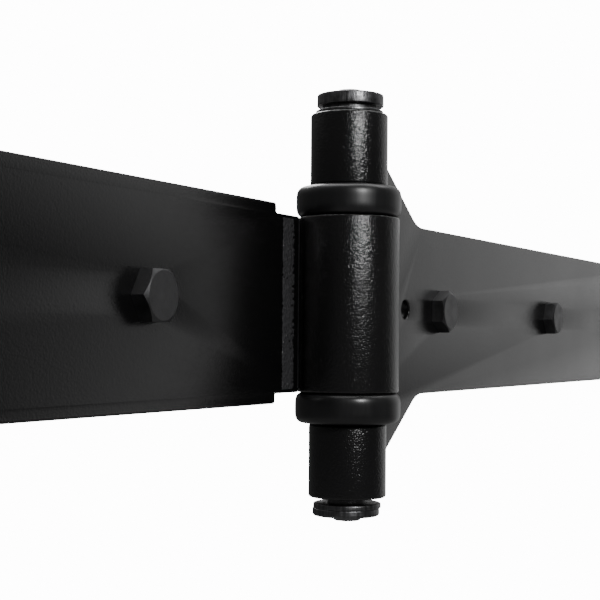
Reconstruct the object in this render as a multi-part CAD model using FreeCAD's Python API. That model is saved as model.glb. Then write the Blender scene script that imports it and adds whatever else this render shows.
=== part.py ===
import FreeCAD, Part
import math
import os

from FreeCAD import Vector

# A heavy strap hinge, laid open flat, in millimetres. One STEP file is written for each separate piece.
#
# The origin is on the pin's axis, halfway up the barrel. +Z runs up the pin, +X runs along the strap
# that is screwed to the post, and the strap that is screwed to the door lies towards -X. The front of
# the hinge faces -Y, and the backs of both straps face +Y, where the post and the door are.

# Pin
PIN_RADIUS = 6.35
PIN_END_RADIUS = 4.6
PIN_END_ROUNDING = 0.7
PIN_UPPER_SHOULDER = 62.75
PIN_LOWER_SHOULDER = -64.5
RUNNING_GAP = 0.05
FITTED_GAP = 0.02

# Caps on the pin's ends
CAP_RADIUS = 11.1
UPPER_WASHER_THICKNESS = 2.55
UPPER_FLANGE_THICKNESS = 1.05
UPPER_NECK_RADIUS = 9.9
UPPER_DISC_THICKNESS = 3.8
UPPER_DISC_RADIUS = 11.0
UPPER_DISC_OFFSET = Vector(0.14, -0.26, 0)
LOWER_WASHER_THICKNESS = 1.6
LOWER_DISC_THICKNESS = 2.5
LOWER_DISC_RADIUS = 11.0
LOWER_DISC_OFFSET = Vector(-0.17, 0.31, 0)
CAP_ROUNDING = 0.35
UPPER_BOSS_HEIGHT = 1.8
LOWER_BOSS_HEIGHT = 2.1

# Barrel
MIDDLE_RADIUS = 16.7
MIDDLE_HALF_LENGTH = 28.575
MIDDLE_BORE_RADIUS = 12.2
RING_HEIGHT = 10.0
RING_RADIUS = 17.3
RING_SHOULDER_RADIUS = 16.7
RING_SHOULDER_DROP = 2.1
RING_SHOULDER_HEIGHT = 1.7
SLEEVE_LENGTH = 22.0
THRUST_GAP = 0.3
END_KNUCKLE_RADIUS = 12.7
END_KNUCKLE_OUTER_END = 62.6
END_KNUCKLE_INNER_END = MIDDLE_HALF_LENGTH + RING_HEIGHT + THRUST_GAP
KNUCKLE_ROUNDING = 0.8

# Straps
THICKNESS = 4.7625
HALF_WIDTH = 31.75
STRAP_END = 400.0
STRAP_CORNER = 6.0
EDGE_ROUNDING = 0.5
SCREW_HOLE_RADIUS = 5.2
SCREW_STATIONS = (95.5, 230.5, 365.5)

# Post strap: its back is level with the back of the end knuckles
POST_BACK = END_KNUCKLE_RADIUS
POST_FRONT = POST_BACK - THICKNESS
POST_INNER_EDGE = 10.0
POST_BASE_HALF_HEIGHT = 62.0
POST_FLARE_START = 31.4
POST_FLARE_END = 74.0
POST_FLARE_FILLET = 16.0
NOTCH_HALF_HEIGHT = 39.9
NOTCH_EDGE = 20.5
NOTCH_CORNER = 3.0
LOCATING_HOLE_STATION = 63.0
LOCATING_HOLE_RADIUS = 3.55

# Door strap: its back is level with the back of the middle knuckle
DOOR_BACK = MIDDLE_RADIUS
DOOR_FRONT = DOOR_BACK - THICKNESS
DOOR_SHOULDER = 26.8
DOOR_TAB_EDGE = 11.8

# Welds
WELD_END_MARGIN = 1.2
WELD_BACK_DROP = 0.15
POST_WELD_TOE = 16.5
POST_WELD_ANGLE = 6.0
DOOR_WELD_TOE = 22.8
DOOR_WELD_ANGLE = 36.0
WELD_HOLLOW = 0.9

# Lag screws, 3/8 in by 2 in
HEAD_ACROSS_FLATS = 14.29
HEAD_HEIGHT = 5.0
HEAD_CHAMFER_DEG = 30.0
SHANK_RADIUS = 4.5
SHANK_LENGTH = 18.0
THREAD_RADIUS = 4.7625
THREAD_LENGTH = 26.0
POINT_LENGTH = 6.8
POINT_TIP_RADIUS = 0.5
POST_HEAD_TURNS = (30.0, 6.0, 18.0)
DOOR_HEAD_TURNS = (0.0, 24.0, 11.0)


def cylinder(radius, low, high, centre=Vector(0, 0, 0)):
    """A cylinder along Z from low to high."""
    return Part.makeCylinder(radius, high - low, Vector(centre.x, centre.y, low))


def tube(outer, inner, low, high, rounding=0.0):
    """A round tube along Z, with its outer end edges rounded."""
    body = cylinder(outer, low, high)
    if rounding:
        body = body.makeFillet(rounding, round_edges(body, outer))
    return body.cut(cylinder(inner, low - 1, high + 1))


def round_edges(solid, radius):
    """The solid's circular edges of this radius."""
    return [
        edge for edge in solid.Edges
        if isinstance(edge.Curve, Part.Circle) and abs(edge.Curve.Radius - radius) < 1e-6
    ]


def rounded_outline(corners):
    """A closed wire in the XZ plane through corners (x, z, radius), with each corner rounded."""
    points = [Vector(x, 0, z) for x, z, _ in corners]
    starts, ends, arcs = [], [], []
    for index, (_, _, radius) in enumerate(corners):
        corner = points[index]
        towards_last = (points[index - 1] - corner).normalize()
        towards_next = (points[(index + 1) % len(points)] - corner).normalize()
        if radius == 0:
            starts.append(corner)
            ends.append(corner)
            arcs.append(None)
            continue
        half_angle = towards_last.getAngle(towards_next) / 2
        reach = radius / math.tan(half_angle)
        bisector = (towards_last + towards_next).normalize()
        middle = corner + bisector * (radius / math.sin(half_angle) - radius)
        starts.append(corner + towards_last * reach)
        ends.append(corner + towards_next * reach)
        arcs.append(middle)
    edges = []
    for index in range(len(points)):
        if arcs[index]:
            edges.append(Part.Arc(starts[index], arcs[index], ends[index]).toShape())
        edges.append(Part.makeLine(ends[index], starts[(index + 1) % len(points)]))
    return Part.Wire(edges)


def plate(corners, front, back):
    """A flat plate with this outline, from front to back along Y, its front edges slightly rounded."""
    solid = Part.Face(rounded_outline(corners)).extrude(Vector(0, back - front, 0))
    solid.translate(Vector(0, front, 0))
    front_edges = [edge for edge in solid.Edges if abs(edge.BoundBox.YMax - front) < 1e-6]
    return solid.makeFillet(EDGE_ROUNDING, front_edges)


def hole(station, radius):
    """The cutter for a hole through a strap, along Y."""
    return Part.makeCylinder(radius, 60, Vector(station, -30, 0), Vector(0, 1, 0))


def mirrored_in_z(corners):
    """The outline's lower half from its upper half, in the order that closes it."""
    return [(x, -z, radius) for x, z, radius in reversed(corners)]


def post_strap():
    """The flared strap that carries the two end knuckles, with its screw holes and locating hole."""
    upper = [
        (NOTCH_EDGE, NOTCH_HALF_HEIGHT, NOTCH_CORNER),
        (POST_INNER_EDGE, NOTCH_HALF_HEIGHT, 0),
        (POST_INNER_EDGE, POST_BASE_HALF_HEIGHT, 0),
        (POST_FLARE_START, POST_BASE_HALF_HEIGHT, 4.0),
        (POST_FLARE_END, HALF_WIDTH, POST_FLARE_FILLET),
        (STRAP_END, HALF_WIDTH, STRAP_CORNER),
    ]
    solid = plate(upper + mirrored_in_z(upper), POST_FRONT, POST_BACK)
    for station in SCREW_STATIONS:
        solid = solid.cut(hole(station, SCREW_HOLE_RADIUS))
    return solid.cut(hole(LOCATING_HOLE_STATION, LOCATING_HOLE_RADIUS))


def door_strap():
    """The straight strap that carries the middle knuckle on a tab as tall as the knuckle."""
    upper = [
        (-DOOR_TAB_EDGE, MIDDLE_HALF_LENGTH, 0),
        (-DOOR_SHOULDER, MIDDLE_HALF_LENGTH, 0.8),
        (-DOOR_SHOULDER, HALF_WIDTH, 1.0),
        (-STRAP_END, HALF_WIDTH, STRAP_CORNER),
    ]
    solid = plate(upper + mirrored_in_z(upper), DOOR_FRONT, DOOR_BACK)
    for station in SCREW_STATIONS:
        solid = solid.cut(hole(-station, SCREW_HOLE_RADIUS))
    return solid


def end_knuckle(side):
    """The upper (side 1) or lower (side -1) end knuckle, bored for the pin."""
    low, high = sorted((side * END_KNUCKLE_INNER_END, side * END_KNUCKLE_OUTER_END))
    return tube(END_KNUCKLE_RADIUS, PIN_RADIUS + RUNNING_GAP, low, high, KNUCKLE_ROUNDING)


def middle_knuckle():
    """The middle knuckle, bored for the two bearing sleeves."""
    return tube(
        MIDDLE_RADIUS, MIDDLE_BORE_RADIUS, -MIDDLE_HALF_LENGTH, MIDDLE_HALF_LENGTH, KNUCKLE_ROUNDING
    )


def bearing_ring(side):
    """A bulging thrust ring and its sleeve in one piece, at the upper or lower end of the middle knuckle."""
    bore = PIN_RADIUS + RUNNING_GAP
    sleeve = MIDDLE_BORE_RADIUS - FITTED_GAP
    base = MIDDLE_HALF_LENGTH
    top = base + RING_HEIGHT
    face = RING_SHOULDER_RADIUS - RING_SHOULDER_DROP
    low_shoulder = base + RING_SHOULDER_HEIGHT
    high_shoulder = top - RING_SHOULDER_HEIGHT
    turn_in = 0.7 * RING_SHOULDER_DROP
    corners = [
        Vector(face, 0, top),
        Vector(bore, 0, top),
        Vector(bore, 0, base - SLEEVE_LENGTH),
        Vector(sleeve, 0, base - SLEEVE_LENGTH),
        Vector(sleeve, 0, base),
        Vector(face, 0, base),
    ]
    edges = [Part.makeLine(corners[i], corners[i + 1]) for i in range(len(corners) - 1)]
    edges.append(Part.Arc(
        corners[-1],
        Vector(face + turn_in, 0, base + 0.3 * RING_SHOULDER_HEIGHT),
        Vector(RING_SHOULDER_RADIUS, 0, low_shoulder),
    ).toShape())
    edges.append(Part.Arc(
        Vector(RING_SHOULDER_RADIUS, 0, low_shoulder),
        Vector(RING_RADIUS, 0, (base + top) / 2),
        Vector(RING_SHOULDER_RADIUS, 0, high_shoulder),
    ).toShape())
    edges.append(Part.Arc(
        Vector(RING_SHOULDER_RADIUS, 0, high_shoulder),
        Vector(face + turn_in, 0, top - 0.3 * RING_SHOULDER_HEIGHT),
        corners[0],
    ).toShape())
    ring = Part.Face(Part.Wire(edges)).revolve(Vector(0, 0, 0), Vector(0, 0, 1), 360)
    if side < 0:
        ring = ring.mirror(Vector(0, 0, 0), Vector(0, 0, 1))
    return ring


def weld(side, radius, front, back, edge, toe, toe_angle_deg, low, high):
    """The weld between a strap's inner edge and its knuckle: a front fillet and the filled groove behind it.

    side is 1 where the strap lies towards +X, and -1 where it lies towards -X.
    """
    angle = math.radians(toe_angle_deg)
    strap_toe = Vector(side * toe, front, low)
    knuckle_toe = Vector(side * radius * math.cos(angle), radius * math.sin(angle), low)
    chord = (strap_toe + knuckle_toe) * 0.5
    root = Vector(side * edge, front, low)
    hollow = chord + (root - chord).normalize() * WELD_HOLLOW
    inside = 0.8 * radius
    groove_top = back - WELD_BACK_DROP
    path = [
        knuckle_toe,
        Vector(side * inside * math.cos(angle), inside * math.sin(angle), low),
        Vector(0, inside, low),
        Vector(0, groove_top, low),
        Vector(side * edge, groove_top, low),
        root,
        strap_toe,
    ]
    edges = [Part.makeLine(path[i], path[i + 1]) for i in range(len(path) - 1)]
    edges.append(Part.Arc(strap_toe, hollow, knuckle_toe).toShape())
    bead = Part.Face(Part.Wire(edges)).extrude(Vector(0, 0, high - low))
    return bead.cut(cylinder(radius, low - 1, high + 1))


def end_knuckle_weld(side):
    """The weld that joins the upper or lower end knuckle to the post strap."""
    ends = (side * (NOTCH_HALF_HEIGHT + WELD_END_MARGIN), side * (POST_BASE_HALF_HEIGHT - WELD_END_MARGIN))
    return weld(
        1, END_KNUCKLE_RADIUS, POST_FRONT, POST_BACK, POST_INNER_EDGE,
        POST_WELD_TOE, POST_WELD_ANGLE, min(ends), max(ends),
    )


def middle_knuckle_weld():
    """The weld that joins the middle knuckle to the door strap's tab."""
    end = MIDDLE_HALF_LENGTH - WELD_END_MARGIN
    return weld(
        -1, MIDDLE_RADIUS, DOOR_FRONT, DOOR_BACK, DOOR_TAB_EDGE,
        DOOR_WELD_TOE, DOOR_WELD_ANGLE, -end, end,
    )


def hinge_pin():
    """The pin, with a shoulder and a thinner, slightly domed end at each cap."""
    upper_end = PIN_UPPER_SHOULDER + UPPER_WASHER_THICKNESS + UPPER_DISC_THICKNESS + UPPER_BOSS_HEIGHT
    lower_end = PIN_LOWER_SHOULDER - LOWER_WASHER_THICKNESS - LOWER_DISC_THICKNESS - LOWER_BOSS_HEIGHT
    ends = cylinder(PIN_END_RADIUS, lower_end, upper_end)
    ends = ends.makeFillet(PIN_END_ROUNDING, round_edges(ends, PIN_END_RADIUS))
    return ends.fuse(cylinder(PIN_RADIUS, PIN_LOWER_SHOULDER, PIN_UPPER_SHOULDER))


def cap_plate(radius, offset, low, high):
    """One punched disc on a pin end: its rim may sit a little off the pin's axis, its hole doesn't."""
    disc = cylinder(radius, low, high, offset)
    disc = disc.makeFillet(CAP_ROUNDING, round_edges(disc, radius))
    return disc.cut(cylinder(PIN_END_RADIUS + FITTED_GAP, low - 1, high + 1))


def stepped_washer(low, high):
    """The upper washer: a thin flange on the barrel, then a narrower neck under the retaining disc."""
    flange_top = low + UPPER_FLANGE_THICKNESS
    flange = cylinder(CAP_RADIUS, low, flange_top)
    flange = flange.makeFillet(CAP_ROUNDING, round_edges(flange, CAP_RADIUS))
    body = flange.fuse(cylinder(UPPER_NECK_RADIUS, low, high))
    return body.cut(cylinder(PIN_END_RADIUS + FITTED_GAP, low - 1, high + 1)).removeSplitter()


def caps():
    """The washer and the retaining disc at each end of the pin, by name."""
    upper_seam = PIN_UPPER_SHOULDER + UPPER_WASHER_THICKNESS
    lower_seam = PIN_LOWER_SHOULDER - LOWER_WASHER_THICKNESS
    centred = Vector(0, 0, 0)
    return {
        "upper_washer": stepped_washer(PIN_UPPER_SHOULDER, upper_seam),
        "upper_retaining_disc": cap_plate(
            UPPER_DISC_RADIUS, UPPER_DISC_OFFSET, upper_seam, upper_seam + UPPER_DISC_THICKNESS
        ),
        "lower_washer": cap_plate(CAP_RADIUS, centred, lower_seam, PIN_LOWER_SHOULDER),
        "lower_retaining_disc": cap_plate(
            LOWER_DISC_RADIUS, LOWER_DISC_OFFSET, lower_seam - LOWER_DISC_THICKNESS, lower_seam
        ),
    }


def hex_head():
    """A chamfered hexagon head: its underside is at Z 0, its top is at Z HEAD_HEIGHT, a corner is on +X."""
    corner_radius = HEAD_ACROSS_FLATS / 2 / math.cos(math.radians(30))
    corners = [
        Vector(corner_radius * math.cos(math.radians(60 * i)), corner_radius * math.sin(math.radians(60 * i)), 0)
        for i in range(6)
    ]
    prism = Part.Face(Part.makePolygon(corners + corners[:1])).extrude(Vector(0, 0, HEAD_HEIGHT))
    top_radius = 0.95 * HEAD_ACROSS_FLATS / 2
    drop = HEAD_HEIGHT
    wide_radius = top_radius + drop / math.tan(math.radians(HEAD_CHAMFER_DEG))
    return prism.common(Part.makeCone(wide_radius, top_radius, drop))


def lag_screw(station, front, turn_deg):
    """A lag screw through a strap, its head on the strap's front and its point towards +Y."""
    thread_start = -SHANK_LENGTH
    thread_end = thread_start - THREAD_LENGTH
    tip = thread_end - POINT_LENGTH
    screw = hex_head().fuse([
        cylinder(SHANK_RADIUS, thread_start, 0),
        cylinder(THREAD_RADIUS, thread_end, thread_start),
        Part.makeCone(POINT_TIP_RADIUS, THREAD_RADIUS, POINT_LENGTH, Vector(0, 0, tip)),
    ])
    screw.rotate(Vector(0, 0, 0), Vector(0, 0, 1), turn_deg)
    screw.rotate(Vector(0, 0, 0), Vector(1, 0, 0), 90)
    screw.translate(Vector(station, front, 0))
    return screw


def lag_screws():
    """The six lag screws, by name, numbered from the barrel outwards."""
    screws = {}
    for number, station in enumerate(SCREW_STATIONS, start=1):
        post_turn = POST_HEAD_TURNS[number - 1]
        door_turn = DOOR_HEAD_TURNS[number - 1]
        screws[f"post_lag_screw_{number}"] = lag_screw(station, POST_FRONT, post_turn)
        screws[f"door_lag_screw_{number}"] = lag_screw(-station, DOOR_FRONT, door_turn)
    return screws


def pieces():
    """Every separate piece of the hinge, by name."""
    return {
        "post_strap": post_strap(),
        "upper_knuckle": end_knuckle(1),
        "lower_knuckle": end_knuckle(-1),
        "upper_knuckle_weld": end_knuckle_weld(1),
        "lower_knuckle_weld": end_knuckle_weld(-1),
        "door_strap": door_strap(),
        "middle_knuckle": middle_knuckle(),
        "middle_knuckle_weld": middle_knuckle_weld(),
        "upper_bearing_ring": bearing_ring(1),
        "lower_bearing_ring": bearing_ring(-1),
        "hinge_pin": hinge_pin(),
        **caps(),
        **lag_screws(),
    }


os.makedirs("parts", exist_ok=True)
for name, shape in pieces().items():
    solid = shape.removeSplitter()
    if len(solid.Solids) != 1 or not solid.isValid():
        raise RuntimeError(f"{name} isn't one valid solid")
    solid.Solids[0].exportStep(f"parts/{name}.step")
    box = solid.BoundBox
    print(
        f"{name}: X {box.XMin:.2f}..{box.XMax:.2f} Y {box.YMin:.2f}..{box.YMax:.2f}"
        f" Z {box.ZMin:.2f}..{box.ZMax:.2f} volume {solid.Volume:.0f}"
    )
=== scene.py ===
import math

import bmesh
import bpy
from mathutils import Matrix, Vector, noise


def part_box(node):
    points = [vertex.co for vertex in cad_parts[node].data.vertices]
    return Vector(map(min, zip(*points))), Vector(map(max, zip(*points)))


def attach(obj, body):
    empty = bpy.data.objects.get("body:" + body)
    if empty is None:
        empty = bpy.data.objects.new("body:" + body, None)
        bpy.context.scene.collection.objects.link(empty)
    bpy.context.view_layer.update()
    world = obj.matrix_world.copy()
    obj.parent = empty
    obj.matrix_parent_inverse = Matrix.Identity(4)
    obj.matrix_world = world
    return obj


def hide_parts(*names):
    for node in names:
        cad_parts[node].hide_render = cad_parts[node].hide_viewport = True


# A heavy black strap hinge, laid open flat. Metres, in the CAD model's frame: +Z runs up the pin,
# +X along the post strap, and the fronts of both straps face -Y.
MM = 0.001
TURN = 2 * math.pi

# Smoothness of the round pieces
ROUND_STEPS = 160
DISC_STEPS = 240
PIN_STEPS = 96
HOLE_STEPS = 64
HEAD_STEPS = 72
SHAFT_STEPS = 40
EDGE_ARC_STEPS = 5
SAME_PLACE = 0.002 * MM
SHARP_ANGLE = math.radians(34)

# Barrel
END_KNUCKLE_RADIUS = 12.7 * MM
END_BORE = 6.4 * MM
MIDDLE_RADIUS = 16.7 * MM
MIDDLE_BORE = 12.2 * MM
MIDDLE_HALF_LENGTH = 28.575 * MM
KNUCKLE_ROUNDING = 0.8 * MM
BORE_ROUNDING = 0.25 * MM
RING_FACE_INSET = 2.7 * MM
RING_STEPS = 36
RING_SQUARENESS = 4.0
SLEEVE_RADIUS = 12.18 * MM

# Pin and caps
PIN_RADIUS = 6.35 * MM
PIN_END_RADIUS = 4.6 * MM
PIN_UPPER_SHOULDER = 62.75 * MM
PIN_LOWER_SHOULDER = -64.5 * MM
PIN_CENTRE_HOLE = 0.05 * MM
PEENED_DEPTH = 1.3 * MM
PEENED_DENTS = 0.16 * MM
CAP_BORE = 4.62 * MM
CAP_EDGE = 0.3 * MM
FLANGE_THICKNESS = 1.05 * MM
NECK_RADIUS = 8.9 * MM

# Welds
POST_WELD_EDGE = 10.0 * MM
POST_WELD_TOE = 16.5 * MM
POST_WELD_ANGLE_DEG = 6.0
POST_WELD_HOLLOW = 0.9 * MM
POST_WELD_PITCH = 1.9 * MM
DOOR_WELD_EDGE = 11.8 * MM
DOOR_WELD_TOE = 22.8 * MM
DOOR_WELD_CREST_END = 15.6 * MM
DOOR_WELD_CROWN = 0.12 * MM
DOOR_WELD_PITCH = 2.2 * MM
WELD_ROW = 0.2 * MM
WELD_END_LENGTH = 1.6 * MM
WELD_BACK_DROP = 0.15 * MM
WELD_GROOVE_DIP = 0.28 * MM

# Straps
HALF_WIDTH = 31.75 * MM
STRAP_EDGE = 0.5 * MM
STRAP_CORNER = 6.0 * MM
SCREW_STATIONS = (95.5 * MM, 230.5 * MM, 365.5 * MM)
SCREW_HOLE_RADIUS = 5.2 * MM
LOCATING_STATION = 63.0 * MM
LOCATING_RADIUS = 3.55 * MM
POST_INNER_ROUNDING = 0.6 * MM
NOTCH_EDGE = 20.5 * MM
NOTCH_HALF_HEIGHT = 39.9 * MM
NOTCH_CORNER = 3.0 * MM
FLARE_START = 31.4 * MM
FLARE_START_ROUNDING = 4.0 * MM
FLARE_END = 74.0 * MM
FLARE_END_ROUNDING = 16.0 * MM
DOOR_SHOULDER = -26.8 * MM

# Lag screws
ACROSS_FLATS = 14.29 * MM
HEAD_HEIGHT = 5.0 * MM
HEAD_CROWN_RADIUS = 0.95 * ACROSS_FLATS / 2
HEAD_CHAMFER_SLOPE = math.tan(math.radians(30))
HEAD_EDGE = 0.22 * MM
SHANK_RADIUS = 4.5 * MM
THREAD_RADIUS = 4.7625 * MM
THREAD_ROOT = 3.45 * MM
THREAD_PITCH = 3.63 * MM
SHANK_LENGTH = 18.0 * MM
THREAD_LENGTH = 26.0 * MM
POINT_LENGTH = 6.8 * MM
POINT_TIP_SHARE = 0.03
POST_HEAD_TURNS = (30.0, 6.0, 18.0)
DOOR_HEAD_TURNS = (0.0, 24.0, 11.0)

# Camera, as the hinge is seen
CAMERA_PLACE = Vector((-0.3876, -0.1961, -0.0119))
CAMERA_AZIMUTH = math.radians(-61.07)
CAMERA_ELEVATION = math.radians(-1.77)
CAMERA_ROLL = math.radians(0.44)
CAMERA_LENS_MM = 79.3
SENSOR_MM = 36.0

# Floor
FLOOR_HEIGHT = -0.26
FLOOR_CORNERS = ((-0.62, -0.5), (0.6, -0.5), (0.6, 0.5), (-0.62, 0.5))

# Surroundings: how bright they look, how dim they are as a light, and glows in them
# (direction, cosine where the glow starts, cosine where it is full, level)
WORLD_SEEN = 14.0
WORLD_DIM = 0.085
WORLD_GLOWS = (
    ((1.0, -0.05, 0.27), 0.68, 0.95, 0.62),
    ((0.0, 0.5, 0.87), 0.6, 0.95, 0.4),
    ((0.0, 0.0, -1.0), 0.17, 0.5, 0.15),
)


# ---------------------------------------------------------------- meshes

def new_object(name, mesh):
    """An object in the scene that shows this mesh."""
    obj = bpy.data.objects.new(name, mesh)
    bpy.context.scene.collection.objects.link(obj)
    return obj


def finish_mesh(name, bm, smooth=True, sharp=SHARP_ANGLE):
    """A mesh object from bm, with outward normals, smooth but for its sharp edges."""
    bmesh.ops.remove_doubles(bm, verts=bm.verts, dist=SAME_PLACE)
    bmesh.ops.recalc_face_normals(bm, faces=bm.faces)
    mesh = bpy.data.meshes.new(name)
    bm.to_mesh(mesh)
    bm.free()
    if smooth:
        mesh.shade_smooth()
        mesh.set_sharp_from_angle(angle=sharp)
    return new_object(name, mesh)


def rings_to_mesh(name, rings, closed_profile, sharp=SHARP_ANGLE):
    """A surface through rings of points, each a closed loop. The first and last rings join or are capped."""
    bm = bmesh.new()
    loops = [[bm.verts.new(point) for point in ring] for ring in rings]
    pairs = list(zip(loops, loops[1:]))
    if closed_profile:
        pairs.append((loops[-1], loops[0]))
    for lower, upper in pairs:
        count = len(lower)
        for index in range(count):
            following = (index + 1) % count
            bm.faces.new((lower[index], lower[following], upper[following], upper[index]))
    if not closed_profile:
        bm.faces.new(list(reversed(loops[0])))
        bm.faces.new(loops[-1])
    return finish_mesh(name, bm, sharp=sharp)


def rounded_profile(corners):
    """Profile points through corners (r, z, rounding) of a closed outline, with each corner rounded."""
    points = []
    count = len(corners)
    for index, (r, z, rounding) in enumerate(corners):
        corner = Vector((r, z))
        if rounding == 0:
            points.append(corner)
            continue
        back = (Vector(corners[index - 1][:2]) - corner).normalized()
        ahead = (Vector(corners[(index + 1) % count][:2]) - corner).normalized()
        half_angle = back.angle(ahead) / 2
        reach = rounding / math.tan(half_angle)
        centre = corner + (back + ahead).normalized() * rounding / math.sin(half_angle)
        start = corner + back * reach - centre
        end = corner + ahead * reach - centre
        for step in range(EDGE_ARC_STEPS + 1):
            share = step / EDGE_ARC_STEPS
            points.append(centre + start.slerp(end, share) * rounding)
    return points


def lathe(name, profile, shape=None, centre=(0, 0), steps=ROUND_STEPS, sharp=SHARP_ANGLE):
    """A solid of revolution about Z from a closed profile of (r, z). shape(r, z, angle) may move points."""
    rings = []
    for point in profile:
        ring = []
        for index in range(steps):
            angle = TURN * index / steps
            r, z = point
            if shape:
                r, z = shape(r, z, angle)
            ring.append(Vector((centre[0] + r * math.cos(angle), centre[1] + r * math.sin(angle), z)))
        rings.append(ring)
    return rings_to_mesh(name, rings, closed_profile=True, sharp=sharp)


def arc_points(start, middle, end, steps):
    """Points on the circle through three (r, z) points, from start to end, both included."""
    (ax, ay), (bx, by), (cx, cy) = start, middle, end
    d = 2 * (ax * (by - cy) + bx * (cy - ay) + cx * (ay - by))
    ux = ((ax**2 + ay**2) * (by - cy) + (bx**2 + by**2) * (cy - ay) + (cx**2 + cy**2) * (ay - by)) / d
    uy = ((ax**2 + ay**2) * (cx - bx) + (bx**2 + by**2) * (ax - cx) + (cx**2 + cy**2) * (bx - ax)) / d
    centre = Vector((ux, uy))
    first = Vector(start) - centre
    last = Vector(end) - centre
    return [centre + first.slerp(last, step / steps) * first.length for step in range(steps + 1)]


# ---------------------------------------------------------------- barrel

def knuckle(node, bore):
    """A knuckle tube with this bore, its ends rounded, where the CAD node is."""
    low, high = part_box(node)
    outer = high.x
    profile = rounded_profile([
        (outer, low.z, KNUCKLE_ROUNDING),
        (outer, high.z, KNUCKLE_ROUNDING),
        (bore, high.z, BORE_ROUNDING),
        (bore, low.z, BORE_ROUNDING),
    ])
    return lathe(node + "_finished", profile)


def bearing_ring(node):
    """A bulging bearing ring with its sleeve, where the CAD node is."""
    low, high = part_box(node)
    side = 1 if high.z > 0 else -1
    base = MIDDLE_HALF_LENGTH
    top = max(abs(low.z), abs(high.z))
    widest = high.x
    face = widest - RING_FACE_INSET
    sleeve_end = min(abs(low.z), abs(high.z))
    middle = (base + top) / 2
    half = (top - base) / 2
    outline = [Vector((SLEEVE_RADIUS, base))]
    for step in range(RING_STEPS + 1):
        height = math.sin(math.pi * (step / RING_STEPS - 0.5))
        bulge = math.sqrt(max(0.0, 1 - abs(height) ** RING_SQUARENESS))
        outline.append(Vector((face + (widest - face) * bulge, middle + half * height)))
    outline += [
        Vector((END_BORE, top)),
        Vector((END_BORE, sleeve_end)),
        Vector((SLEEVE_RADIUS, sleeve_end)),
    ]
    return lathe(node + "_finished", [(r, side * z) for r, z in outline], sharp=math.radians(50))


# ---------------------------------------------------------------- pin and caps

def ragged(angle, z, coarse, seed):
    """A smooth random value from -1 to 1 that wraps round the rim."""
    place = Vector((coarse * math.cos(angle), coarse * math.sin(angle), 60 * z + seed))
    return noise.noise(place)


def punched_disc(node, roll, seed):
    """A punched steel disc: its lower edge rolled over by (in, up), its rim torn and streaked above."""
    low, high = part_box(node)
    radius = (high.x - low.x) / 2
    centre = ((low.x + high.x) / 2, (low.y + high.y) / 2)
    bore = CAP_BORE + abs(centre[0]) + abs(centre[1])
    height = high.z - low.z
    drop, rise = roll
    wall_height = height - CAP_EDGE - rise
    wall = [
        Vector((radius - drop * (1 - math.sin(share * TURN / 4)), rise * (1 - math.cos(share * TURN / 4))))
        for share in (0.0, 0.2, 0.4, 0.6, 0.8, 1.0)
    ]
    wall += [Vector((radius, rise + wall_height * share)) for share in (0.2, 0.4, 0.6, 0.8, 1.0)]
    wall.append(Vector((radius - 0.3 * CAP_EDGE, height - 0.3 * CAP_EDGE)))
    wall.append(Vector((radius - CAP_EDGE, height)))
    outline = wall + [Vector((bore, height)), Vector((bore, 0))]

    def torn(r, z, angle):
        if r < radius - drop - 0.1 * MM:
            return r, low.z + z
        streak = 0.5 + 0.5 * ragged(angle, 0, 34, seed)
        wear = 0.5 + 0.5 * ragged(angle, 30 * z, 9, seed + 3)
        tear = max(0.0, z / height - 0.35) / 0.65
        r -= (tear * (0.02 + 0.12 * streak) + 0.05 * wear) * MM
        return r, low.z + z

    sharp = math.radians(50)
    return lathe(node + "_finished", outline, shape=torn, centre=centre, steps=DISC_STEPS, sharp=sharp)


def stepped_washer(node):
    """The upper washer: a thin flange on the barrel, then a narrower neck under the retaining disc."""
    low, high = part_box(node)
    flange = high.x
    flange_top = low.z + FLANGE_THICKNESS
    profile = rounded_profile([
        (flange, low.z, 0.3 * MM),
        (flange, flange_top, 0.3 * MM),
        (NECK_RADIUS, flange_top, 0.15 * MM),
        (NECK_RADIUS, high.z, 0.1 * MM),
        (CAP_BORE, high.z, 0.1 * MM),
        (CAP_BORE, low.z, 0.1 * MM),
    ])
    return lathe(node + "_finished", profile)


def pin_end(tip, inward, flat, crown, rim, waist):
    """Profile points of a peened pin end, from its middle out. inward is the sign of Z towards the barrel."""
    points = [Vector((PIN_CENTRE_HOLE, tip))]
    points += [Vector((flat * share, tip + inward * crown * share**2 * 0.5)) for share in (0.35, 0.7, 1.0)]
    points += arc_points(
        (flat + 0.4 * MM, tip + inward * crown),
        (PIN_END_RADIUS - 0.25 * MM, tip + inward * rim * waist),
        (PIN_END_RADIUS, tip + inward * rim * 1.6),
        5,
    )
    return points


def hinge_pin():
    """The pin, with peened ends that stand out of the caps. The lower end is the more domed."""
    low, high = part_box("hinge_pin")
    lower_end = pin_end(low.z, 1, 2.9 * MM, 0.45 * MM, 0.7 * MM, 0.9)
    upper_end = pin_end(high.z, -1, 3.6 * MM, 0.15 * MM, 0.4 * MM, 0.7)
    shoulders = [
        Vector((PIN_END_RADIUS, PIN_LOWER_SHOULDER)),
        Vector((PIN_RADIUS, PIN_LOWER_SHOULDER)),
        Vector((PIN_RADIUS, PIN_UPPER_SHOULDER)),
        Vector((PIN_END_RADIUS, PIN_UPPER_SHOULDER)),
    ]
    profile = lower_end + shoulders + upper_end[::-1]

    def peened(r, z, angle):
        outside = max(z - high.z + PEENED_DEPTH, low.z + PEENED_DEPTH - z, 0) / PEENED_DEPTH
        dent = noise.noise(Vector((900 * r * math.cos(angle), 900 * r * math.sin(angle), 300 * z)))
        drop = PEENED_DENTS * min(1.0, outside) * (0.5 + 0.5 * dent)
        return r, z - drop if z > 0 else z + drop

    return lathe("hinge_pin_finished", profile, shape=peened, steps=PIN_STEPS)


# ---------------------------------------------------------------- welds

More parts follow.
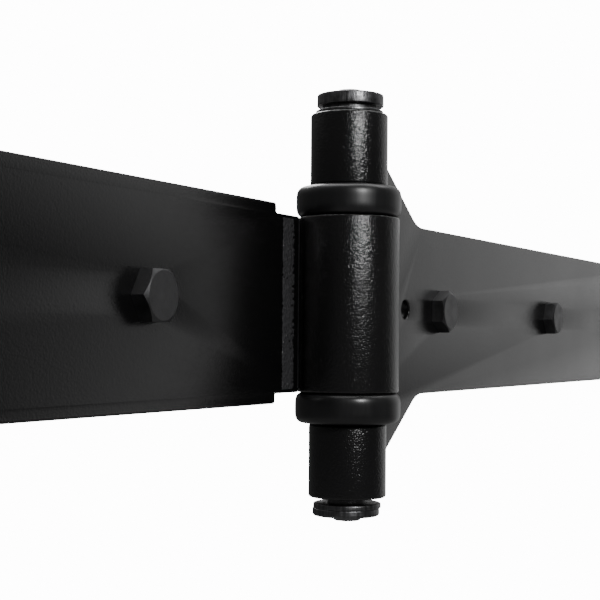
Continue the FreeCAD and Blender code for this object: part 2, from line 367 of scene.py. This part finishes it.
def fillet_face(side, radius, front, edge, toe, toe_angle_deg, hollow):
    """A hollow weld face from a strap to a knuckle, as (x, y, coarseness)."""
    angle = math.radians(toe_angle_deg)
    strap_toe = Vector((side * toe, front))
    knuckle_toe = Vector((side * radius * math.cos(angle), radius * math.sin(angle)))
    chord = (strap_toe + knuckle_toe) / 2
    root = Vector((side * edge, front))
    deepest = chord + (root - chord).normalized() * hollow
    arc = arc_points(tuple(strap_toe), tuple(deepest), tuple(knuckle_toe), 14)
    return [(point.x, point.y, 1.0) for point in arc]


def flat_face(side, radius, front, toe, crest_end, crown):
    """A wide, nearly flat bead on a strap, then a smooth dip to the knuckle, as (x, y, coarseness)."""
    points = []
    for step in range(13):
        share = step / 12
        x = toe + (crest_end - toe) * share
        points.append((side * x, front - crown * (4 * share * (1 - share)) ** 0.5, 1.0))
    knuckle_y = front - 0.1 * MM
    knuckle_x = math.sqrt(radius**2 - knuckle_y**2)
    for share in (0.25, 0.5, 0.75, 1.0):
        x = crest_end + (knuckle_x - crest_end) * share
        y = front + 0.15 * MM * math.sin(math.pi * share) - 0.1 * MM * share
        points.append((side * x, y, 0.0))
    return points


def weld_bead(node, side, radius, face, front, back, edge, pitch, seed):
    """A grainy, faintly rippled weld from a strap's inner edge to its knuckle, where the CAD node is."""
    low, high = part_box(node)
    first, last = Vector(face[0][:2]), Vector(face[-1][:2])
    outward = Vector((last.y - first.y, first.x - last.x)).normalized()
    if outward.y > 0:
        outward = -outward
    angle = math.atan2(last.y, side * last.x)
    inside = 0.93 * radius
    groove_top = back - WELD_BACK_DROP
    inner = [
        Vector((side * inside * math.cos(angle), inside * math.sin(angle))),
        Vector((side * inside * math.cos(angle + 0.3), inside * math.sin(angle + 0.3))),
    ]
    groove = [Vector((side * edge * share, groove_top)) for share in (0.5, 0.6, 0.7, 0.8, 0.9)]
    rings = []
    rows = int((high.z - low.z) / WELD_ROW)
    for row in range(rows + 1):
        z = low.z + (high.z - low.z) * row / rows
        from_end = min(z - low.z, high.z - z)
        swell = min(1.0, from_end / WELD_END_LENGTH) ** 0.5
        wander = noise.noise(Vector((4, 0, 110 * z + seed)))
        ring = []
        for index, (x, y, coarse) in enumerate(face):
            share = index / (len(face) - 1)
            ripple = abs(math.sin(math.pi * (z / pitch + 2.2 * share * (1 - share) + 0.35 * wander)))
            rough = noise.noise(Vector((1300 * x, 1300 * y, 1300 * z + seed)))
            toe_line = 1.0 if index == 1 else 0.0
            spatter = max(0.0, noise.noise(Vector((900 * x, 900 * y, 900 * z + 2 * seed))) - 0.15)
            height = (0.08 * ripple - 0.04 + 0.22 * rough + 0.12 * toe_line + 0.5 * spatter) * MM * coarse
            spot = Vector((x, y)) + outward * height * (0.35 + 0.65 * swell)
            ring.append(Vector((spot.x, spot.y, z)))
        ring += [Vector((point.x, point.y, z)) for point in inner]
        for index, point in enumerate(groove):
            phase = z / pitch + 0.3 * math.sin(index) + 0.3 * wander
            dip = WELD_GROOVE_DIP * (1 - abs(math.sin(math.pi * phase)))
            ring.append(Vector((point.x, point.y - dip, z)))
        ring.append(Vector((side * edge * 1.02, groove_top - 0.3 * MM, z)))
        ring.append(Vector((side * edge * 1.02, front + 0.3 * MM, z)))
        rings.append(ring)
    return rings_to_mesh(node + "_finished", rings, closed_profile=False, sharp=math.radians(70))


# ---------------------------------------------------------------- straps

def add_loop(curve, points):
    """One closed outline of straight stretches in a flat curve."""
    spline = curve.splines.new("POLY")
    spline.points.add(len(points) - 1)
    for place, point in zip(spline.points, points):
        place.co = (point[0], point[1], 0, 1)
    spline.use_cyclic_u = True


def circle_points(x, radius, steps=HOLE_STEPS):
    """Points round a hole on the strap's middle line."""
    return [
        (x + radius * math.cos(TURN * index / steps), radius * math.sin(TURN * index / steps))
        for index in range(steps)
    ]


def strap(name, corners, holes, front, back):
    """A flat strap with rounded edges, from corners (x, z, rounding) and holes (x, radius)."""
    curve = bpy.data.curves.new(name, "CURVE")
    curve.dimensions = "2D"
    curve.fill_mode = "BOTH"
    outline = rounded_profile(corners)
    add_loop(curve, outline)
    for x, radius in holes:
        add_loop(curve, circle_points(x, radius))
    curve.extrude = (back - front) / 2 - STRAP_EDGE
    curve.bevel_depth = STRAP_EDGE
    curve.bevel_resolution = 3
    curve.offset = -STRAP_EDGE
    holder = bpy.data.objects.new(name + "_outline", curve)
    bpy.context.scene.collection.objects.link(holder)
    bpy.context.view_layer.update()
    depsgraph = bpy.context.evaluated_depsgraph_get()
    mesh = bpy.data.meshes.new_from_object(holder.evaluated_get(depsgraph))
    bpy.data.objects.remove(holder)
    stand_up = Matrix.Translation((0, (front + back) / 2, 0)) @ Matrix.Rotation(math.pi / 2, 4, "X")
    mesh.transform(stand_up)
    bm = bmesh.new()
    bm.from_mesh(mesh)
    return finish_mesh(name + "_finished", bm, sharp=math.radians(40))


def both_halves(upper):
    """A closed outline from its upper half."""
    return upper + [(x, -z, rounding) for x, z, rounding in reversed(upper)]


def post_strap():
    """The flared strap behind the barrel, with its screw holes and its locating hole."""
    low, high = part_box("post_strap")
    upper = [
        (NOTCH_EDGE, NOTCH_HALF_HEIGHT, NOTCH_CORNER),
        (low.x, NOTCH_HALF_HEIGHT, POST_INNER_ROUNDING),
        (low.x, high.z, POST_INNER_ROUNDING),
        (FLARE_START, high.z, FLARE_START_ROUNDING),
        (FLARE_END, HALF_WIDTH, FLARE_END_ROUNDING),
        (high.x, HALF_WIDTH, STRAP_CORNER),
    ]
    holes = [(station, SCREW_HOLE_RADIUS) for station in SCREW_STATIONS]
    holes.append((LOCATING_STATION, LOCATING_RADIUS))
    return strap("post_strap", both_halves(upper), holes, low.y, high.y)


def door_strap():
    """The straight strap with a tab for the middle knuckle."""
    low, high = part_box("door_strap")
    upper = [
        (high.x, MIDDLE_HALF_LENGTH, 0.6 * MM),
        (DOOR_SHOULDER, MIDDLE_HALF_LENGTH, 0.8 * MM),
        (DOOR_SHOULDER, HALF_WIDTH, 1.0 * MM),
        (low.x, HALF_WIDTH, STRAP_CORNER),
    ]
    holes = [(-station, SCREW_HOLE_RADIUS) for station in SCREW_STATIONS]
    return strap("door_strap", both_halves(upper), holes, low.y, high.y)


# ---------------------------------------------------------------- lag screws

def hex_reach(angle):
    """The distance from a hexagon's centre to its outline, with a corner at angle 0."""
    within = (angle % (TURN / 6)) - TURN / 12
    return ACROSS_FLATS / 2 / math.cos(within)


def head_ring(reach_at, height_at):
    """A ring of points whose reach depends on the angle, and whose height depends on the reach."""
    points = []
    for index in range(HEAD_STEPS):
        angle = TURN * index / HEAD_STEPS
        reach = reach_at(angle)
        points.append(Vector((reach * math.cos(angle), reach * math.sin(angle), height_at(reach))))
    return points


def head_top(reach):
    """The height of the head's top at this distance from its middle: flat, then chamfered."""
    return HEAD_HEIGHT - max(0.0, reach - HEAD_CROWN_RADIUS) * HEAD_CHAMFER_SLOPE


def screw_head(name):
    """A chamfered hexagon head: its underside is at Z 0 and its top at HEAD_HEIGHT."""
    rings = [head_ring(hex_reach, lambda reach: 0.0), head_ring(hex_reach, head_top)]
    for share in (0.02, 0.5, 0.97):
        rings.append(head_ring(
            lambda angle: hex_reach(angle) + (HEAD_CROWN_RADIUS - hex_reach(angle)) * share,
            head_top,
        ))
    for share in (1.0, 0.8, 0.5, 0.2):
        rings.append(head_ring(lambda angle: share * HEAD_CROWN_RADIUS, head_top))
    return rings_to_mesh(name, rings, closed_profile=False, sharp=math.radians(24))


def thread_radius(angle, depth):
    """The screw's radius at this angle and depth below its head. The thread runs in gently."""
    if depth <= SHANK_LENGTH:
        return SHANK_RADIUS
    past = depth - SHANK_LENGTH
    taper = 1.0
    if past > THREAD_LENGTH:
        taper = max(POINT_TIP_SHARE, 1 - (past - THREAD_LENGTH) / POINT_LENGTH)
    phase = (past / THREAD_PITCH - angle / TURN) % 1.0
    ridge = max(0.0, 1 - abs(phase - 0.5) / 0.26) ** 0.8
    start = min(1.0, past / (1.2 * THREAD_PITCH))
    root = SHANK_RADIUS + (THREAD_ROOT - SHANK_RADIUS) * min(1.0, past / (0.8 * THREAD_PITCH))
    crest = root + (THREAD_RADIUS - root) * start
    return taper * (root + (crest - root) * ridge)


def screw_shaft(name):
    """The shank, the thread and the point, going down from Z 0."""
    turned = THREAD_LENGTH + POINT_LENGTH
    rows = int(turned / (THREAD_PITCH / 16))
    depths = [0.0, 0.5 * SHANK_LENGTH, SHANK_LENGTH]
    depths += [SHANK_LENGTH + turned * (row + 1) / rows for row in range(rows)]
    rings = []
    for depth in depths:
        ring = []
        for index in range(SHAFT_STEPS):
            angle = TURN * index / SHAFT_STEPS
            radius = thread_radius(angle, depth)
            ring.append(Vector((radius * math.cos(angle), radius * math.sin(angle), -depth)))
        rings.append(ring)
    return rings_to_mesh(name, rings, closed_profile=False, sharp=math.radians(60))


def join(name, pieces):
    """The pieces' meshes as one object."""
    bm = bmesh.new()
    for piece in pieces:
        bm.from_mesh(piece.data)
        bpy.data.objects.remove(piece)
    mesh = bpy.data.meshes.new(name)
    bm.to_mesh(mesh)
    bm.free()
    return new_object(name, mesh)


def lag_screw(node, station, front, turn_deg):
    """A lag screw through a strap, its point towards +Y."""
    head = screw_head(node + "_head")
    bevel = head.modifiers.new("rounded_edges", "BEVEL")
    bevel.width = HEAD_EDGE
    bevel.segments = 3
    bevel.limit_method = "ANGLE"
    bevel.angle_limit = math.radians(18)
    bevel.harden_normals = False
    depsgraph = bpy.context.evaluated_depsgraph_get()
    rounded = bpy.data.meshes.new_from_object(head.evaluated_get(depsgraph))
    head.modifiers.clear()
    head.data = rounded
    shaft = screw_shaft(node + "_shaft")
    screw = join(node + "_finished", [head, shaft])
    place = (
        Matrix.Translation((station, front, 0))
        @ Matrix.Rotation(math.pi / 2, 4, "X")
        @ Matrix.Rotation(math.radians(turn_deg), 4, "Z")
    )
    screw.data.transform(place)
    return screw


# ---------------------------------------------------------------- materials

def shader(name, **settings):
    """A new material, its node tree, and its principled shader with these constant settings."""
    material = bpy.data.materials.new(name)
    material.use_nodes = True
    tree = material.node_tree
    principled = tree.nodes["Principled BSDF"]
    for socket, value in settings.items():
        principled.inputs[socket.replace("_", " ")].default_value = value
    return material, tree, principled


def add(tree, kind, **values):
    """A node of this kind with these properties and input values."""
    node = tree.nodes.new(kind)
    for name, value in values.items():
        if hasattr(node, name):
            setattr(node, name, value)
        else:
            node.inputs[name.replace("_", " ")].default_value = value
    return node


def grain(tree, scale, detail, roughness, stretch=(1, 1, 1)):
    """A noise value, from object coordinates in metres."""
    place = add(tree, "ShaderNodeTexCoord")
    mapping = add(tree, "ShaderNodeMapping")
    mapping.inputs["Scale"].default_value = stretch
    texture = add(tree, "ShaderNodeTexNoise", Scale=scale, Detail=detail, Roughness=roughness)
    tree.links.new(place.outputs["Object"], mapping.inputs["Vector"])
    tree.links.new(mapping.outputs["Vector"], texture.inputs["Vector"])
    return texture.outputs["Fac"]


def ramp(tree, value, low, high, from_value, to_value, interpolation_type="LINEAR"):
    """value mapped from (low, high) to (from_value, to_value), clamped."""
    node = add(tree, "ShaderNodeMapRange", clamp=True, interpolation_type=interpolation_type)
    node.inputs["From Min"].default_value = low
    node.inputs["From Max"].default_value = high
    node.inputs["To Min"].default_value = from_value
    node.inputs["To Max"].default_value = to_value
    tree.links.new(value, node.inputs["Value"])
    return node.outputs["Result"]


def colours(tree, value, first, second):
    """A colour between first and second."""
    node = add(tree, "ShaderNodeValToRGB")
    node.color_ramp.elements[0].color = (*first, 1)
    node.color_ramp.elements[1].color = (*second, 1)
    tree.links.new(value, node.inputs["Fac"])
    return node.outputs["Color"]


def bump(tree, principled, layers):
    """Bumps on the shader's normal, one for each (height, distance, strength)."""
    normal = None
    for height, distance, strength in layers:
        node = add(tree, "ShaderNodeBump")
        node.inputs["Distance"].default_value = distance
        node.inputs["Strength"].default_value = strength
        tree.links.new(height, node.inputs["Height"])
        if normal:
            tree.links.new(normal, node.inputs["Normal"])
        normal = node.outputs["Normal"]
    tree.links.new(normal, principled.inputs["Normal"])


def link_look(tree, principled, colour, roughness):
    """Gives the shader a base colour and a roughness that vary over the surface."""
    tree.links.new(colour, principled.inputs["Base Color"])
    tree.links.new(roughness, principled.inputs["Roughness"])


def powder_coat(name, albedo, grain_height):
    """Fine-textured satin black powder coat, with orange peel and a sparkle of grains."""
    material, tree, principled = shader(name, IOR=1.5)
    fine = grain(tree, 2200, 1, 0.5)
    coarse = grain(tree, 1250, 1, 0.5)
    broad = grain(tree, 30, 2, 0.5)
    low, high = 0.8 * albedo, 1.2 * albedo
    colour = colours(tree, broad, (low, low, 1.05 * low), (high, high, 1.05 * high))
    link_look(tree, principled, colour, ramp(tree, broad, 0.3, 0.7, 0.20, 0.25))
    bump(tree, principled, [(coarse, 0.6 * grain_height, 1.0), (fine, grain_height, 1.0)])
    return material


def ring_plastic():
    """Smooth semi-gloss black, with faint turning marks."""
    material, tree, principled = shader("ring_plastic", IOR=1.5)
    smear = grain(tree, 260, 3, 0.6, stretch=(1, 1, 0.15))
    turned = grain(tree, 500, 2, 0.5, stretch=(0.05, 0.05, 6))
    colour = colours(tree, smear, (0.006, 0.006, 0.0063), (0.011, 0.011, 0.0115))
    link_look(tree, principled, colour, ramp(tree, smear, 0.3, 0.7, 0.30, 0.40))
    bump(tree, principled, [(turned, 0.00002, 0.12)])
    return material


def cap_steel():
    """Dark, blackened steel whose punched rim is streaked and rubbed bright in places."""
    material, tree, principled = shader("cap_steel", Metallic=1.0)
    streak = grain(tree, 900, 3, 0.6, stretch=(1, 1, 0.12))
    patch = grain(tree, 450, 3, 0.6)
    colour = colours(tree, streak, (0.012, 0.012, 0.013), (0.24, 0.24, 0.245))
    link_look(tree, principled, colour, ramp(tree, patch, 0.35, 0.65, 0.28, 0.50))
    bump(tree, principled, [(streak, 0.00022, 0.6), (patch, 0.00022, 0.6)])
    return material


def pin_steel():
    """Dark turned steel."""
    material, tree, principled = shader("pin_steel", Metallic=1.0)
    turned = grain(tree, 900, 2, 0.5, stretch=(0.05, 0.05, 4))
    patch = grain(tree, 300, 3, 0.6)
    colour = colours(tree, patch, (0.07, 0.07, 0.072), (0.26, 0.26, 0.265))
    link_look(tree, principled, colour, ramp(tree, patch, 0.35, 0.65, 0.3, 0.45))
    bump(tree, principled, [(turned, 0.00004, 0.3), (patch, 0.00006, 0.4)])
    return material


def screw_steel():
    """Satin black-oxide steel."""
    material, tree, principled = shader("black_screw_steel", Metallic=0.8, IOR=1.5)
    fine = grain(tree, 1500, 2, 0.6)
    broad = grain(tree, 220, 3, 0.6)
    colour = colours(tree, broad, (0.035, 0.035, 0.036), (0.085, 0.085, 0.087))
    link_look(tree, principled, colour, ramp(tree, broad, 0.3, 0.7, 0.34, 0.50))
    bump(tree, principled, [(fine, 0.00006, 0.5)])
    return material


def floor_paint():
    """Plain pale floor."""
    material, _, principled = shader("pale_floor", Roughness=0.7)
    principled.inputs["Base Color"].default_value = (0.9, 0.9, 0.9, 1)
    return material


def cover(obj, material, body, node):
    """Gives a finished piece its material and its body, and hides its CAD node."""
    obj.data.materials.clear()
    obj.data.materials.append(material)
    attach(obj, body)
    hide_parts(node)


# ---------------------------------------------------------------- stage

def build_camera():
    """The camera where the hinge is seen from, level with the barrel and close to the straps' line."""
    back = Vector((
        math.sin(CAMERA_AZIMUTH) * math.cos(CAMERA_ELEVATION),
        -math.cos(CAMERA_AZIMUTH) * math.cos(CAMERA_ELEVATION),
        math.sin(CAMERA_ELEVATION),
    ))
    right = Vector((math.cos(CAMERA_AZIMUTH), math.sin(CAMERA_AZIMUTH), 0))
    up = back.cross(right)
    rolled_right = right * math.cos(CAMERA_ROLL) + up * math.sin(CAMERA_ROLL)
    rolled_up = up * math.cos(CAMERA_ROLL) - right * math.sin(CAMERA_ROLL)
    camera = bpy.data.objects.new("camera", bpy.data.cameras.new("camera"))
    bpy.context.scene.collection.objects.link(camera)
    camera.data.sensor_width = SENSOR_MM
    camera.data.lens = CAMERA_LENS_MM
    camera.data.clip_start = 0.01
    turned = Matrix((rolled_right, rolled_up, back)).transposed().to_4x4()
    camera.matrix_world = Matrix.Translation(CAMERA_PLACE) @ turned
    bpy.context.scene.camera = camera


def build_floor():
    """A pale floor below the hinge, which the hinge doesn't reflect."""
    bm = bmesh.new()
    bm.faces.new([bm.verts.new((x, y, FLOOR_HEIGHT)) for x, y in FLOOR_CORNERS])
    floor = finish_mesh("floor", bm, smooth=False)
    floor.data.materials.append(floor_paint())
    floor.visible_glossy = False
    floor.visible_diffuse = False


def area_light(name, direction_deg, elevation_deg, distance, size, power):
    """A soft rectangular light that faces the barrel. direction_deg is from +X towards +Y."""
    azimuth = math.radians(direction_deg)
    elevation = math.radians(elevation_deg)
    place = Vector((
        math.cos(azimuth) * math.cos(elevation),
        math.sin(azimuth) * math.cos(elevation),
        math.sin(elevation),
    )) * distance
    light = bpy.data.lights.new(name, "AREA")
    light.shape = "RECTANGLE"
    light.size, light.size_y = size
    light.energy = power
    holder = bpy.data.objects.new(name, light)
    bpy.context.scene.collection.objects.link(holder)
    holder.location = place
    holder.visible_camera = False
    holder.rotation_euler = place.to_track_quat("Z", "Y").to_euler()


def glow(tree, direction, edge, centre, level):
    """A soft glow of this level round a direction, growing from the cosine edge to the cosine centre."""
    place = add(tree, "ShaderNodeTexCoord")
    facing = add(tree, "ShaderNodeVectorMath", operation="DOT_PRODUCT")
    facing.inputs[1].default_value = Vector(direction).normalized()
    tree.links.new(place.outputs["Generated"], facing.inputs[0])
    return ramp(tree, facing.outputs["Value"], edge, centre, 0.0, level, interpolation_type="SMOOTHSTEP")


def build_world():
    """A dim studio that looks white, with glows past the post strap's end, high behind, and below."""
    world = bpy.data.worlds.new("pale_studio")
    world.use_nodes = True
    tree = world.node_tree
    background = tree.nodes["Background"]
    total = None
    for direction, edge, centre, level in WORLD_GLOWS:
        part = glow(tree, direction, edge, centre, level)
        if total:
            together = add(tree, "ShaderNodeMath", operation="ADD")
            tree.links.new(total, together.inputs[0])
            tree.links.new(part, together.inputs[1])
            part = together.outputs[0]
        total = part
    dim = add(tree, "ShaderNodeMath", operation="ADD")
    dim.inputs[1].default_value = WORLD_DIM
    tree.links.new(total, dim.inputs[0])
    path = add(tree, "ShaderNodeLightPath")
    seen = add(tree, "ShaderNodeMix", data_type="FLOAT")
    tree.links.new(path.outputs["Is Camera Ray"], seen.inputs[0])
    tree.links.new(dim.outputs[0], seen.inputs[2])
    seen.inputs[3].default_value = WORLD_SEEN
    tree.links.new(seen.outputs[0], background.inputs["Strength"])
    background.inputs["Color"].default_value = (1, 1, 1, 1)
    bpy.context.scene.world = world


# ---------------------------------------------------------------- the hinge

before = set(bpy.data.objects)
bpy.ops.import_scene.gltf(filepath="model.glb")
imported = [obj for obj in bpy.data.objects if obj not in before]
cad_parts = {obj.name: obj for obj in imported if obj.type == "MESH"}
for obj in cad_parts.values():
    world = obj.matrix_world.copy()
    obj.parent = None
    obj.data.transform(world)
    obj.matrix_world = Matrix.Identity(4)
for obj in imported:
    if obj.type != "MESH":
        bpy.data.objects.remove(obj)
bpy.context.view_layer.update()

build_camera()
build_world()
build_floor()
area_light("key", -122, 23, 0.55, (0.08, 0.09), 2.0)
area_light("overhead", 90, 84, 1.5, (1.2, 1.2), 17)
area_light("rear", 50, 45, 1.2, (0.7, 0.5), 14)
area_light("front_fill", -40, 58, 1.3, (0.7, 0.7), 5)

coat = powder_coat("black_powder_coat", 0.0060, 0.00013)
strap_coat = powder_coat("black_powder_coat_on_straps", 0.0036, 0.00005)
# Painted light: the welds get the knuckles' powder coat at about seven times its albedo. This lighter copy
# lifts the shade in the groove beside the middle knuckle.
weld_coat_painted_lighter = powder_coat("black_powder_coat_on_weld_painted_lighter", 0.0400, 0.00030)
screw_coat = screw_steel()
rim_steel = cap_steel()
turned_steel = pin_steel()
plastic = ring_plastic()

cover(post_strap(), strap_coat, "post_leaf", "post_strap")
cover(door_strap(), strap_coat, "door_leaf", "door_strap")
for node, bore, body in (
    ("upper_knuckle", END_BORE, "post_leaf"),
    ("lower_knuckle", END_BORE, "post_leaf"),
    ("middle_knuckle", MIDDLE_BORE, "door_leaf"),
):
    cover(knuckle(node, bore), coat, body, node)
for node in ("upper_bearing_ring", "lower_bearing_ring"):
    cover(bearing_ring(node), plastic, "door_leaf", node)

post_low, post_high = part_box("post_strap")
door_low, door_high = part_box("door_strap")
for node, seed in (("upper_knuckle_weld", 5), ("lower_knuckle_weld", 9)):
    face = fillet_face(
        1, END_KNUCKLE_RADIUS, post_low.y, POST_WELD_EDGE,
        POST_WELD_TOE, POST_WELD_ANGLE_DEG, POST_WELD_HOLLOW,
    )
    bead = weld_bead(
        node, 1, END_KNUCKLE_RADIUS, face, post_low.y, post_high.y,
        POST_WELD_EDGE, POST_WELD_PITCH, seed,
    )
    cover(bead, weld_coat_painted_lighter, "post_leaf", node)
face = flat_face(-1, MIDDLE_RADIUS, door_low.y, DOOR_WELD_TOE, DOOR_WELD_CREST_END, DOOR_WELD_CROWN)
bead = weld_bead(
    "middle_knuckle_weld", -1, MIDDLE_RADIUS, face, door_low.y, door_high.y,
    DOOR_WELD_EDGE, DOOR_WELD_PITCH, 2,
)
cover(bead, weld_coat_painted_lighter, "door_leaf", "middle_knuckle_weld")

cover(hinge_pin(), turned_steel, "pin", "hinge_pin")
cover(stepped_washer("upper_washer"), rim_steel, "pin", "upper_washer")
for node, roll, seed in (
    ("upper_retaining_disc", (0.3 * MM, 0.3 * MM), 4),
    ("lower_washer", (0.35 * MM, 0.35 * MM), 7),
    ("lower_retaining_disc", (0.6 * MM, 0.9 * MM), 11),
):
    cover(punched_disc(node, roll, seed), rim_steel, "pin", node)

for number, station in enumerate(SCREW_STATIONS):
    name = f"post_lag_screw_{number + 1}"
    screw = lag_screw(name, station, post_low.y, POST_HEAD_TURNS[number])
    cover(screw, screw_coat, "post_leaf", name)
    name = f"door_lag_screw_{number + 1}"
    screw = lag_screw(name, -station, door_low.y, DOOR_HEAD_TURNS[number])
    cover(screw, screw_coat, "door_leaf", name)
